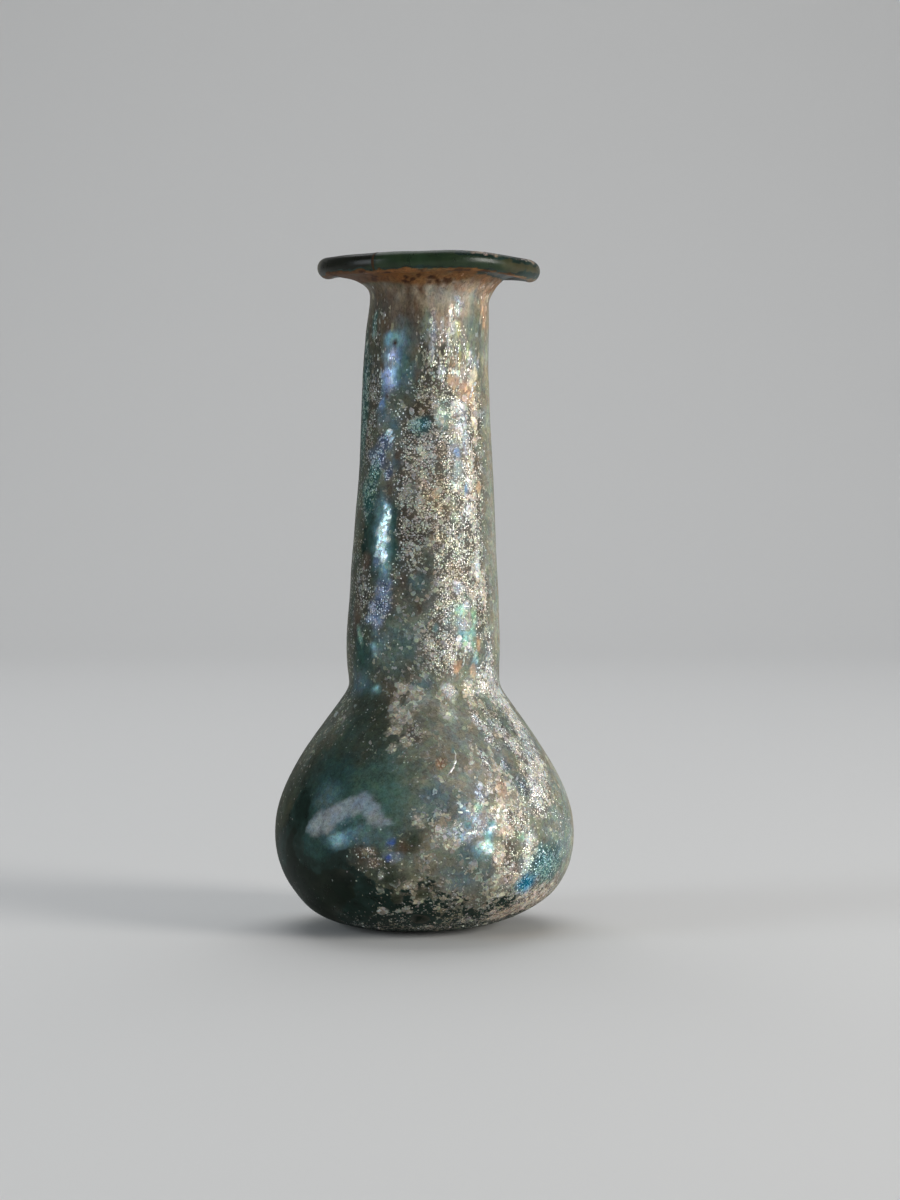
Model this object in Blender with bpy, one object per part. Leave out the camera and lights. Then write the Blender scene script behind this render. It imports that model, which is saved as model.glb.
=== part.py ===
"""A Roman blown-glass unguentarium: one hollow vessel with a squat body, a long neck and a folded rim.

The wall is drawn once as a closed profile of radius and height, worked out from the sizes
below, and spun about the vertical axis. Every point is then moved a little, the way a
hand-blown vessel leans and its rim bends. Metres, +Z up. The origin is under the middle of
the body, level with the ring that the vessel stands on.
"""

import math

import bmesh
import bpy

MM = 0.001
QUARTER = math.pi / 2

# Outside form.
FOOT_RADIUS = 7.9 * MM  # outer edge of the flat ring it stands on
KICK_RADIUS = 4.8 * MM  # the shallow push-up in the middle of the base
KICK_DEPTH = 0.9 * MM
BODY_RADIUS = 26.9 * MM
BODY_WIDEST_Z = 16.4 * MM
BODY_FULLNESS = 2.16  # the lower body's curve: 2 is an ellipse, and more is squarer
SHOULDER_TOP_Z = 42.8 * MM  # where the shoulder meets the neck
SHOULDER_TOP_RADIUS = 13.55 * MM
SHOULDER_SLOPE = 1.07  # 1 is a plain cosine wave, and more draws the shoulder in
NECK_POINTS = (  # (height, radius) up the outside of the neck
    (SHOULDER_TOP_Z + 1.5 * MM, 13.45 * MM),
    (50.0 * MM, 13.75 * MM),
    (59.0 * MM, 13.4 * MM),
    (70.0 * MM, 12.65 * MM),
    (84.0 * MM, 11.8 * MM),
    (99.0 * MM, 11.2 * MM),
    (108.5 * MM, 10.95 * MM),
    (112.8 * MM, 10.75 * MM),
)
FLARE_Z, FLARE_START_RADIUS = NECK_POINTS[-1]  # where the neck begins to open into the rim

# Folded rim: a flat flange that ends in a thick rolled bead.
RIM_RADIUS = 20.0 * MM
BEAD_RADIUS = 1.82 * MM
BEAD_Z = 117.85 * MM
BEAD_START = -math.radians(140)  # the roll, from under the flange round to its top
BEAD_END = math.radians(110)
FLANGE_UNDERSIDE_Z = 116.3 * MM
FLANGE_TOP_Z = 118.9 * MM
FLARE_RADIUS = 15.8 * MM  # where the neck's flare meets the flange's underside
MOUTH_RADIUS = 9.0 * MM
LIP_ROUND = 4.4 * MM  # how wide the mouth's edge is rounded
LIP_START_Z = FLARE_Z + 1.2 * MM

# Thickness of the glass.
NECK_WALL = 1.9 * MM
BODY_WALL = 1.5 * MM
BASE_WALL = 2.6 * MM

# How the blown shape departs from a turned one, and the heights at which it does.
FOOT_SHIFT = -1.3 * MM  # the foot stands to -X of the body's middle
FOOT_SHIFT_TOP_Z = 7.0 * MM
NECK_SWAY = -0.25 * MM  # and so does the foot of the neck
NECK_SWAY_RISE = (42.0 * MM, 48.0 * MM)
NECK_SWAY_FALL = (52.0 * MM, 62.0 * MM)
RIM_SHIFT = 0.8 * MM  # the rim's middle stands to +X, first by a little up the neck
NECK_LEAN = 0.25  # the share of that shift which the neck takes
NECK_LEAN_HEIGHTS = (60.0 * MM, 85.0 * MM)
RIM_LEAN_HEIGHTS = (98.0 * MM, 113.0 * MM)
RIM_DROOP = 0.65 * MM  # the rim hangs lower at its +X end
DROOP_FROM = 0.4  # the cosine of the angle where that begins
RIM_LIFT = 0.95 * MM  # and its half towards +Y stands higher
LIFT_TO = 0.6  # the sine of the angle where that is whole
FLARE_SAG = 1.3 * MM  # the flare under the rim starts lower at +X
FLARE_PINCH = 0.35 * MM  # and the neck is pinched in at -X
PINCH_START_Z = 106.0 * MM
PINCH_END_Z = 114.0 * MM
OUTSIDE_RADII = (10.2 * MM, 10.7 * MM)  # between the two faces of the wall, under the rim

SEGMENTS = 48
GLASS_COLOUR = (0.16, 0.27, 0.22, 1.0)
GLASS_ROUGHNESS = 0.35


def arc(centre, radii, start, end, steps):
    """Points on an elliptic arc of (radius, height), from one angle to the other, both included."""
    angles = [start + (end - start) * i / steps for i in range(steps + 1)]
    return [(centre[0] + radii[0] * math.cos(a), centre[1] + radii[1] * math.sin(a)) for a in angles]


def smooth_through(points, steps):
    """Points on the Catmull-Rom curve through these, with this many steps to each span."""
    ends = (points[0], *points, points[-1])
    curve = []
    for i in range(1, len(ends) - 2):
        a, b, c, d = ends[i - 1 : i + 3]
        for step in range(steps):
            t = step / steps
            curve.append(
                tuple(
                    b[k]
                    + 0.5 * t * (c[k] - a[k])
                    + t * t * (a[k] - 2.5 * b[k] + 2 * c[k] - 0.5 * d[k])
                    + 0.5 * t**3 * (3 * (b[k] - c[k]) + d[k] - a[k])
                    for k in (0, 1)
                )
            )
    return curve + [tuple(points[-1])]


def shoulder(top_radius, widest_radius, top_z, steps):
    """A quarter of a wave from the widest level, left out, up to the neck."""
    found = []
    for i in range(1, steps + 1):
        share = i / steps
        wave = max(math.cos(share * QUARTER), 0.0) ** SHOULDER_SLOPE
        radius = top_radius + (widest_radius - top_radius) * wave
        found.append((radius, BODY_WIDEST_Z + (top_z - BODY_WIDEST_Z) * share))
    return found


def lower_body(widest_radius, foot_radius, floor_z, steps):
    """A full quarter curve from the edge of the foot up to the widest level, both included."""
    found = []
    for i in range(steps + 1):
        angle = QUARTER * i / steps
        out = math.sin(angle) ** (2 / BODY_FULLNESS)
        down = max(math.cos(angle), 0.0) ** (2 / BODY_FULLNESS)
        radius = foot_radius + (widest_radius - foot_radius) * out
        found.append((radius, BODY_WIDEST_Z - (BODY_WIDEST_Z - floor_z) * down))
    return found


def outer_wall():
    """From the middle of the underside, over the foot, body and neck, to the edge of the rim."""
    kick = [(KICK_RADIUS * s, KICK_DEPTH * math.cos(s * QUARTER)) for s in (0.0, 0.4, 0.75)]
    foot = [(KICK_RADIUS, 0.0), ((KICK_RADIUS + FOOT_RADIUS) / 2, 0.0)]
    bowl = lower_body(BODY_RADIUS, FOOT_RADIUS, 0.0, 9)
    upper_body = shoulder(SHOULDER_TOP_RADIUS, BODY_RADIUS, SHOULDER_TOP_Z, 9)
    neck = [(radius, z) for z, radius in smooth_through(NECK_POINTS, 2)]
    flare = arc(
        (FLARE_RADIUS, FLARE_Z),
        (FLARE_RADIUS - FLARE_START_RADIUS, FLANGE_UNDERSIDE_Z - FLARE_Z),
        2 * QUARTER,
        QUARTER,
        5,
    )
    bead = arc((RIM_RADIUS - BEAD_RADIUS, BEAD_Z), (BEAD_RADIUS, BEAD_RADIUS), BEAD_START, BEAD_END, 9)
    return kick + foot + bowl + upper_body + neck + flare[1:] + bead


def inner_wall():
    """From the top of the rim's flange, down the neck and body, to the middle of the floor."""
    lip = arc(
        (MOUTH_RADIUS + LIP_ROUND, LIP_START_Z),
        (LIP_ROUND, FLANGE_TOP_Z - LIP_START_Z),
        QUARTER,
        2 * QUARTER,
        5,
    )
    neck = [
        (radius - NECK_WALL, z)
        for z, radius in reversed(smooth_through(NECK_POINTS[:-1], 2))
    ]
    neck_foot_z = SHOULDER_TOP_Z - BODY_WALL / 2
    widest = BODY_RADIUS - BODY_WALL
    upper_body = shoulder(SHOULDER_TOP_RADIUS - NECK_WALL, widest, neck_foot_z, 8)[::-1]
    bowl = lower_body(widest, FOOT_RADIUS - BODY_WALL, BASE_WALL, 8)[::-1]
    floor = [(KICK_RADIUS / 2, KICK_DEPTH / 2 + BASE_WALL), (0.0, KICK_DEPTH + BASE_WALL)]
    return lip + neck + upper_body + bowl + floor


def ramp(value, low, high):
    """0 below low, 1 above high, and a smooth S between them."""
    t = min(max((value - low) / (high - low), 0.0), 1.0)
    return t * t * (3 - 2 * t)


def as_blown(x, y, z):
    """Where a point of the turned shape lies on the hand-blown one."""
    radius = math.hypot(x, y)
    towards_x, towards_y = (x / radius, y / radius) if radius > 0 else (0.0, 0.0)
    under_rim = ramp(z, PINCH_START_Z, FLARE_Z) * (1 - ramp(z, PINCH_END_Z, FLANGE_UNDERSIDE_Z))

    shift = FOOT_SHIFT * (1 - ramp(z, 0.0, FOOT_SHIFT_TOP_Z))
    shift += NECK_SWAY * ramp(z, *NECK_SWAY_RISE) * (1 - ramp(z, *NECK_SWAY_FALL))
    shift += RIM_SHIFT * NECK_LEAN * ramp(z, *NECK_LEAN_HEIGHTS)
    shift += RIM_SHIFT * (1 - NECK_LEAN) * ramp(z, *RIM_LEAN_HEIGHTS)
    shift += FLARE_PINCH * under_rim * ramp(-towards_x, 0.0, 1.0)

    at_rim = ramp(z, FLARE_Z, FLANGE_UNDERSIDE_Z)
    at_edge = ramp(radius, FLARE_RADIUS, RIM_RADIUS - BEAD_RADIUS)
    lift = RIM_LIFT * at_rim * ramp(towards_y, 0.0, LIFT_TO)
    lift -= RIM_DROOP * at_rim * at_edge * ramp(towards_x, DROOP_FROM, 1.0)
    lift -= FLARE_SAG * under_rim * ramp(radius, *OUTSIDE_RADII) * ramp(towards_x, -1.0, 1.0)
    return x + shift, y, z + lift


def glass_material():
    material = bpy.data.materials.new("weathered_glass")
    material.use_nodes = True
    shader = material.node_tree.nodes["Principled BSDF"]
    shader.inputs["Base Color"].default_value = GLASS_COLOUR
    shader.inputs["Roughness"].default_value = GLASS_ROUGHNESS
    shader.inputs["Metallic"].default_value = 0.0
    return material


def make_unguentarium():
    """Spins the wall's profile into one closed solid, open at the mouth."""
    mesh = bpy.data.meshes.new("unguentarium")
    bm = bmesh.new()
    corners = [bm.verts.new((radius, 0.0, z)) for radius, z in outer_wall() + inner_wall()]
    edges = [bm.edges.new(pair) for pair in zip(corners, corners[1:])]
    bmesh.ops.spin(
        bm,
        geom=corners + edges,
        cent=(0, 0, 0),
        axis=(0, 0, 1),
        angle=2 * math.pi,
        steps=SEGMENTS,
        use_merge=True,
    )
    bmesh.ops.remove_doubles(bm, verts=bm.verts, dist=0.01 * MM)
    for vertex in bm.verts:
        vertex.co = as_blown(*vertex.co)
    bmesh.ops.recalc_face_normals(bm, faces=bm.faces)
    bm.to_mesh(mesh)
    bm.free()
    mesh.shade_smooth()
    mesh.materials.append(glass_material())
    vessel = bpy.data.objects.new("unguentarium", mesh)
    bpy.context.scene.collection.objects.link(vessel)
    return vessel


def main():
    for old in list(bpy.data.objects):
        bpy.data.objects.remove(old)
    make_unguentarium()


main()
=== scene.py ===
"""The looks of a Roman glass unguentarium: blue-green glass under a flaking burial crust.

The vessel is drawn as a stack of rings, extruded one from the next up the outside of the wall
and down the inside, and smoothed. Places on it are given by their height in millimetres and
their turn in degrees: 0 faces the front (-Y), and 90 faces +X.
"""

import math
from typing import NamedTuple

import bpy
import numpy as np
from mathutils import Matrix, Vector, noise
from mathutils.bvhtree import BVHTree


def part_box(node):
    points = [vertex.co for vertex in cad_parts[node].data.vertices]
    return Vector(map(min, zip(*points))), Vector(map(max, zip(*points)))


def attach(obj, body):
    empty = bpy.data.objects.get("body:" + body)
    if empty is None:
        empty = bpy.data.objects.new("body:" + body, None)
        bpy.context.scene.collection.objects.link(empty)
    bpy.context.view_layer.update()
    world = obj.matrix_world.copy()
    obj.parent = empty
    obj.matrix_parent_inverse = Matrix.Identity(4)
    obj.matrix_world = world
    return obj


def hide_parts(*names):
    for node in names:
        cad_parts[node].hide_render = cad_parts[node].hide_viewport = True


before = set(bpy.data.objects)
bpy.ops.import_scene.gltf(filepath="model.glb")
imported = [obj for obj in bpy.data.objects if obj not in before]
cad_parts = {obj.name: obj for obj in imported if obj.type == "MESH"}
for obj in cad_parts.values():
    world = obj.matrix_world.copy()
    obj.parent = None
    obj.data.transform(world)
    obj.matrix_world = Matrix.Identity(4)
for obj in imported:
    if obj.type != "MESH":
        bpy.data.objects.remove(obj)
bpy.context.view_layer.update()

MM = 0.001
QUARTER = math.pi / 2
VESSEL = "unguentarium"
LOW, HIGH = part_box(VESSEL)

# Outside form, in metres as in the frame.
FOOT_RADIUS = 7.9 * MM
KICK_RADIUS = 4.8 * MM
KICK_DEPTH = 0.9 * MM
KICK_SHARES = (0.3, 0.7, 0.97)  # of its radius, where its rings are
KICK_EDGE = 0.384 * MM  # from its radius to the level ring round it
BODY_RADIUS = (HIGH.x - LOW.x) / 2
BODY_WIDEST_Z = 16.4 * MM
BODY_FULLNESS = 2.16
SHOULDER_TOP_Z = 42.8 * MM
SHOULDER_TOP_RADIUS = 13.55 * MM
SHOULDER_SLOPE = 1.07
NECK_POINTS = (  # (height, radius) up the outside of the neck
    (SHOULDER_TOP_Z + 1.5 * MM, 13.45 * MM),
    (50 * MM, 13.75 * MM),
    (59 * MM, 13.4 * MM),
    (70 * MM, 12.65 * MM),
    (84 * MM, 11.8 * MM),
    (99 * MM, 11.2 * MM),
    (108.5 * MM, 10.95 * MM),
    (112.8 * MM, 10.75 * MM),
)
FLARE_Z, FLARE_START_RADIUS = NECK_POINTS[-1]
RIM_RADIUS = 20 * MM
BEAD_RADIUS = 1.82 * MM
BEAD_Z = 117.85 * MM
BEAD_START = -math.radians(140)
BEAD_END = math.radians(110)
FLANGE_UNDERSIDE_Z = 116.3 * MM
FLANGE_TOP_Z = 118.9 * MM
FLARE_RADIUS = 15.8 * MM
MOUTH_RADIUS = 9 * MM
LIP_ROUND = 4.4 * MM
LIP_START_Z = FLARE_Z + 1.2 * MM
NECK_WALL = 1.9 * MM
BODY_WALL = 1.5 * MM
BASE_WALL = 2.6 * MM

# How the blown shape departs from a turned one.
FOOT_SHIFT = -1.3 * MM
FOOT_SHIFT_TOP_Z = 7 * MM
NECK_SWAY = -0.25 * MM
NECK_SWAY_RISE = (42 * MM, 48 * MM)
NECK_SWAY_FALL = (52 * MM, 62 * MM)
RIM_SHIFT = 0.8 * MM
NECK_LEAN = 0.25
NECK_LEAN_HEIGHTS = (60 * MM, 85 * MM)
RIM_LEAN_HEIGHTS = (98 * MM, 113 * MM)
RIM_DROOP = 0.65 * MM
DROOP_FROM = 0.4
RIM_DIP = 0.3 * MM
DIP_IN_FRONT = (0.0, 0.5)
DIP_ON_LEFT = (-0.3, 0.2)
RIM_LIFT = 0.95 * MM
LIFT_TO = 0.6
FLARE_SAG = 1.3 * MM
FLARE_PINCH = 0.35 * MM
PINCH_START_Z = 106 * MM
PINCH_END_Z = 114 * MM
OUTSIDE_RADII = (10.2 * MM, 10.7 * MM)  # between them the sag sets in, so that the bore keeps its shape
FLOOR_PEAK = 0.15 * MM  # the middle of the floor, above its last ring
KICK_PEAK = 0.05 * MM  # the middle of the push-up, above its first ring

SIDES = 56  # corners in each ring, before the mesh is smoothed
SMOOTHING = 2
OUTSIDE_PITCH = 2.1 * MM  # between the rings, before the mesh is smoothed
INSIDE_PITCH = 6.5 * MM


# ---- Outline of the wall


def arc(centre, radii, start, end, steps):
    """Points on an elliptic arc of (radius, height), from one angle to the other, both included."""
    angles = [start + (end - start) * i / steps for i in range(steps + 1)]
    return [(centre[0] + radii[0] * math.cos(a), centre[1] + radii[1] * math.sin(a)) for a in angles]


def smooth_through(points, steps):
    """Points on the Catmull-Rom curve through these, with this many steps to each span."""
    line = np.array((points[0], *points, points[-1]))
    curve = []
    for a, b, c, d in zip(line, line[1:], line[2:], line[3:]):
        for t in np.arange(steps) / steps:
            bend = t * (2 * a - 5 * b + 4 * c - d) + t * t * (3 * (b - c) + d - a)
            curve.append(tuple(b + 0.5 * t * (c - a + bend)))
    return curve + [tuple(points[-1])]


def shoulder(top_radius, widest_radius, top_z, steps):
    """A quarter of a wave from the widest level, left out, up to the neck."""
    found = []
    for i in range(1, steps + 1):
        share = i / steps
        wave = max(math.cos(share * QUARTER), 0.0) ** SHOULDER_SLOPE
        radius = top_radius + (widest_radius - top_radius) * wave
        found.append((radius, BODY_WIDEST_Z + (top_z - BODY_WIDEST_Z) * share))
    return found


def lower_body(widest_radius, foot_radius, floor_z, steps):
    """A full quarter curve from the edge of the foot up to the widest level, both included."""
    found = []
    for i in range(steps + 1):
        angle = QUARTER * i / steps
        out = math.sin(angle) ** (2 / BODY_FULLNESS)
        down = max(math.cos(angle), 0.0) ** (2 / BODY_FULLNESS)
        radius = foot_radius + (widest_radius - foot_radius) * out
        found.append((radius, BODY_WIDEST_Z - (BODY_WIDEST_Z - floor_z) * down))
    return found


def even_rings(points, pitch):
    """Points spaced about this far apart along the line through these."""
    line = np.array(points)
    along = np.concatenate([[0.0], np.cumsum(np.hypot(*np.diff(line, axis=0).T))])
    stops = np.linspace(0.0, along[-1], max(2, round(along[-1] / pitch)) + 1)
    return [(np.interp(s, along, line[:, 0]), np.interp(s, along, line[:, 1])) for s in stops]


def outer_rings():
    """From the push-up in the base, over the foot, body and neck, to the edge of the rim."""
    kick = [(KICK_RADIUS * s, KICK_DEPTH * math.cos(s * QUARTER)) for s in KICK_SHARES]
    foot = [(KICK_RADIUS + KICK_EDGE, 0.0), ((KICK_RADIUS + FOOT_RADIUS) / 2, 0.0)]
    bowl = even_rings(lower_body(BODY_RADIUS, FOOT_RADIUS, 0.0, 60), OUTSIDE_PITCH)
    shoulder_line = shoulder(SHOULDER_TOP_RADIUS, BODY_RADIUS, SHOULDER_TOP_Z, 60)
    upper_body = even_rings(shoulder_line, OUTSIDE_PITCH)
    neck = even_rings([(r, z) for z, r in smooth_through(NECK_POINTS, 8)], OUTSIDE_PITCH)
    flare_radii = (FLARE_RADIUS - FLARE_START_RADIUS, FLANGE_UNDERSIDE_Z - FLARE_Z)
    flare = arc((FLARE_RADIUS, FLARE_Z), flare_radii, 2 * QUARTER, QUARTER, 6)
    bead = arc((RIM_RADIUS - BEAD_RADIUS, BEAD_Z), (BEAD_RADIUS, BEAD_RADIUS), BEAD_START, BEAD_END, 9)
    return kick + foot + bowl + upper_body[1:] + neck + flare[1:] + bead


def inner_rings():
    """From the top of the rim's flange, down the neck and body, to the edge of the floor."""
    lip_radii = (LIP_ROUND, FLANGE_TOP_Z - LIP_START_Z)
    lip = arc((MOUTH_RADIUS + LIP_ROUND, LIP_START_Z), lip_radii, QUARTER, 2 * QUARTER, 5)
    neck_line = [(r - NECK_WALL, z) for z, r in reversed(smooth_through(NECK_POINTS[:-1], 8))]
    widest = BODY_RADIUS - BODY_WALL
    neck_foot_z = SHOULDER_TOP_Z - BODY_WALL / 2
    upper_line = shoulder(SHOULDER_TOP_RADIUS - NECK_WALL, widest, neck_foot_z, 40)[::-1]
    bowl_line = lower_body(widest, FOOT_RADIUS - BODY_WALL, BASE_WALL, 40)[::-1]
    floor = [(KICK_RADIUS / 2, KICK_DEPTH / 2 + BASE_WALL)]
    neck = even_rings(neck_line, INSIDE_PITCH)
    body = even_rings(upper_line, INSIDE_PITCH) + even_rings(bowl_line, INSIDE_PITCH)[1:]
    return lip + neck + body + floor


# ---- Hand-blown irregularity


def ramp(value, low, high):
    """0 below low, 1 above high, and a smooth S between them, for numbers and arrays."""
    t = np.clip((value - low) / (high - low), 0.0, 1.0)
    return t * t * (3 - 2 * t)


def as_blown(points):
    """Where the points of the turned shape lie on the hand-blown one."""
    x, y, z = points.T
    radius = np.hypot(x, y)
    spread = np.maximum(radius, 0.01 * MM)
    towards_x, towards_y = x / spread, y / spread
    under_rim = ramp(z, PINCH_START_Z, FLARE_Z) * (1 - ramp(z, PINCH_END_Z, FLANGE_UNDERSIDE_Z))

    shift = FOOT_SHIFT * (1 - ramp(z, 0.0, FOOT_SHIFT_TOP_Z))
    shift += NECK_SWAY * ramp(z, *NECK_SWAY_RISE) * (1 - ramp(z, *NECK_SWAY_FALL))
    shift += RIM_SHIFT * NECK_LEAN * ramp(z, *NECK_LEAN_HEIGHTS)
    shift += RIM_SHIFT * (1 - NECK_LEAN) * ramp(z, *RIM_LEAN_HEIGHTS)
    shift += FLARE_PINCH * under_rim * ramp(-towards_x, 0.0, 1.0)

    at_rim = ramp(z, FLARE_Z, FLANGE_UNDERSIDE_Z)
    at_edge = ramp(radius, FLARE_RADIUS, RIM_RADIUS - BEAD_RADIUS)
    lift = RIM_LIFT * at_rim * ramp(towards_y, 0.0, LIFT_TO)
    lift -= RIM_DROOP * at_rim * at_edge * ramp(towards_x, DROOP_FROM, 1.0)
    lift -= RIM_DIP * at_rim * at_edge * ramp(-towards_y, *DIP_IN_FRONT) * ramp(-towards_x, *DIP_ON_LEFT)
    lift -= FLARE_SAG * under_rim * ramp(radius, *OUTSIDE_RADII) * ramp(towards_x, -1.0, 1.0)
    return np.stack([x + shift, y, z + lift], axis=1)


# ---- Modelling


def only(obj):
    """Selects this object alone and makes it the active one."""
    bpy.ops.object.select_all(action="DESELECT")
    obj.select_set(True)
    bpy.context.view_layer.objects.active = obj


def edit_all(kind):
    """Opens the active object's mesh with all of it selected, as vertices, edges or faces."""
    bpy.ops.object.mode_set(mode="EDIT")
    bpy.ops.mesh.select_mode(type=kind)
    bpy.ops.mesh.select_all(action="SELECT")


def extrude(y, z):
    """Extrudes what is selected this far back and up."""
    bpy.ops.mesh.extrude_region_move(TRANSFORM_OT_translate={"value": (0, y, z)})


def close_edit():
    """Turns every face outwards and leaves edit mode."""
    bpy.ops.mesh.select_all(action="SELECT")
    bpy.ops.mesh.normals_make_consistent(inside=False)
    bpy.ops.object.mode_set(mode="OBJECT")


def read(items, name, width=3):
    """One property of every item, such as a vertex, as rows of this width."""
    values = np.empty(len(items) * width, np.float32)
    items.foreach_get(name, values)
    return values.reshape(-1, width)


def get_points(mesh):
    return read(mesh.vertices, "co").astype(float)


def set_points(mesh, points):
    mesh.vertices.foreach_set("co", points.astype(np.float32).ravel())
    mesh.update()


def store_amount(mesh, name, values):
    layer = mesh.attributes.new(name, "FLOAT", "POINT")
    layer.data.foreach_set("value", np.asarray(values, np.float32))


def store_tint(mesh, colours):
    layer = mesh.attributes.new("tint", "FLOAT_COLOR", "POINT")
    layer.data.foreach_set("color", np.insert(colours, 3, 1.0, axis=1).astype(np.float32).ravel())


def blow_vessel():
    """Extrudes the wall ring by ring from the base to the rim and back down inside, then smooths it."""
    outer = outer_rings()
    rings = outer + inner_rings()
    bpy.ops.object.select_all(action="DESELECT")
    bpy.ops.mesh.primitive_circle_add(
        vertices=SIDES, radius=rings[0][0], location=(0, 0, rings[0][1]), fill_type="NOTHING"
    )
    vessel = bpy.context.object
    vessel.name = vessel.data.name = "blown_glass"
    bpy.ops.object.transform_apply(location=True)
    edit_all("EDGE")
    for (radius, z), (next_radius, next_z) in zip(rings, rings[1:]):
        grow = next_radius / radius
        extrude(0, next_z - z)
        bpy.ops.transform.resize(value=(grow, grow, 1), center_override=(0, 0, 0))
    extrude(0, FLOOR_PEAK)
    bpy.ops.mesh.merge(type="CENTER")
    bpy.ops.mesh.select_all(action="DESELECT")
    bpy.ops.mesh.select_non_manifold()
    extrude(0, KICK_PEAK)
    bpy.ops.mesh.merge(type="CENTER")
    close_edit()

    in_ring = np.arange(len(vessel.data.vertices)) // SIDES
    on_outside = in_ring < len(outer)
    on_outside[-1] = True  # the middle of the underside, which was closed last
    store_amount(vessel.data, "outside", on_outside)
    smoothing = vessel.modifiers.new("smoothing", "SUBSURF")
    smoothing.levels = smoothing.render_levels = SMOOTHING
    only(vessel)
    bpy.ops.object.modifier_apply(modifier=smoothing.name)
    set_points(vessel.data, as_blown(get_points(vessel.data)))
    bpy.ops.object.shade_smooth()
    return vessel


# ---- What lies on the glass, and where

AMOUNTS = ("cover", "shine", "grain", "flakes")


class Layer(NamedTuple):
    """One kind of surface: its colour, how fully it covers the glass, how smooth and mirror-like
    it is, how thickly bright grains and pale flakes lie on it, and how gradually it ends."""

    colour: tuple
    cover: float
    shine: float
    grain: float
    flakes: float = 1.0
    edge: float = 0.6

    def amounts(self):
        return np.array([getattr(self, name) for name in AMOUNTS])


DARK_GLASS = Layer((0.004, 0.012, 0.006), 0.08, 0, 0.03, 0, 1.2)
DARK_SPECKLED = Layer((0.18, 0.17, 0.125), 0.2, 0.1, 0.22, 0.3, 1.6)
TEAL_VEIL = Layer((0.026, 0.066, 0.058), 0.8, 0.1, 0.004, 0, 1.4)
GREEN_VEIL = Layer((0.074, 0.14, 0.11), 0.9, 0.1, 0.004, 0, 1.8)
RIM_DARK = Layer((0.01, 0.012, 0.006), 0.1, 0.15, 0, 0, 0.15)
RIM_GREEN = Layer((0.02, 0.041, 0.017), 0.1, 0.25, 0, 0)
RIM_OLIVE = Layer((0.066, 0.062, 0.03), 0.1, 0.3, 0, 0)
DARK_FILM = Layer((0.066, 0.074, 0.054), 0.8, 0.12, 0.26, 0.02, 1)
MURKY = Layer((0.043, 0.054, 0.037), 0.8, 0.1, 0.06, 0.05, 1.3)
DULL_OLIVE = Layer((0.098, 0.106, 0.078), 0.85, 0.15, 0.12, 0.1, 1)
FAINT_GRAINS = Layer((0.085, 0.088, 0.068), 0.88, 0.15, 0.45, 0.02, 1.2)
DUSKY_FILM = Layer((0.092, 0.094, 0.074), 0.88, 0.14, 0.08, 0.16, 1)
SPECKLED = Layer((0.25, 0.23, 0.18), 0.24, 0.15, 0.42, 0.5, 1.6)
OLIVE_FILM = Layer((0.172, 0.182, 0.146), 0.92, 0.25, 0.1, 0.08, 0.8)
SLATE_FILM = Layer((0.125, 0.158, 0.152), 0.92, 0.3, 0.08, 0.1, 0.9)
GREY_GREEN_FILM = Layer((0.11, 0.148, 0.13), 0.84, 0.25, 0.07, 0.14, 0.9)
LIGHT_OLIVE = Layer((0.275, 0.278, 0.225), 0.95, 0.25, 0.06, 0.05, 1.2)
# Pale olive film, laid paler than the film beside it at the right-hand edges: painted light there, for the
# window light glancing off and showing through the edge.
PALE_OLIVE_FILM_AND_PAINTED_EDGE_LIGHT = Layer((0.3, 0.3, 0.24), 0.95, 0.25, 0.04, 0.03, 1)
PALE_GREEN_FILM = Layer((0.245, 0.285, 0.245), 0.95, 0.35, 0.3, 0.05, 1)
BROWN = Layer((0.09, 0.068, 0.048), 0.9, 0.05, 0.08, 0.08, 1)
DARK_TAN = Layer((0.11, 0.082, 0.056), 0.98, 0, 0.04, 0.03, 1.2)
TAN = Layer((0.285, 0.228, 0.164), 1, 0.05, 0, 0.02, 1)
PALE_TAN = Layer((0.35, 0.3, 0.235), 1, 0.05, 0.02, 0, 1)
MUD = Layer((0.122, 0.118, 0.09), 0.74, 0.1, 0.3, 0.3, 1.4)
BEIGE = Layer((0.3, 0.275, 0.22), 1, 0.15, 0.2, 0.55, 0.5)
IVORY = Layer((0.8, 0.72, 0.58), 1, 0.15, 0.15, 0.22, 0.35)
CREAM = Layer((0.43, 0.395, 0.325), 1, 0.35, 0.45, 0.55, 0.5)
PEACH = Layer((0.43, 0.3, 0.205), 1, 0.15, 0.12, 0.14, 0.4)
PINK_CRUST = Layer((0.37, 0.3, 0.25), 0.66, 0.2, 0.6, 0.55, 0.8)
WHITE = Layer((0.52, 0.53, 0.51), 1, 0.4, 0.5, 0.55, 0.5)
SOIL = Layer((0.195, 0.092, 0.035), 1, 0, 0, 0.02)
DARK_SOIL = Layer((0.05, 0.022, 0.01), 1, 0, 0, 0.02, 1)
RUST = Layer((0.19, 0.115, 0.075), 1, 0.1, 0.2, 0.2, 0.6)
DIM_SILVER = Layer((0.13, 0.122, 0.095), 0.92, 0.15, 0.76, 0.1, 1)
SILVER = Layer((0.275, 0.257, 0.21), 0.97, 0.25, 1, 0.14, 1)
# Painted highlight: a pale cyan-white film laid where a window is mirrored, and mirror-like itself as well.
PAINTED_HIGHLIGHT_FILM = Layer((0.5, 0.66, 0.69), 0.92, 0.9, 0.1, 0.6, 0.5)
# Painted highlight: the pale cyan core of a glow.
PAINTED_CYAN_HIGHLIGHT = Layer((0.25, 0.38, 0.4), 0.95, 0.5, 0, 0, 1.6)
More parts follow.
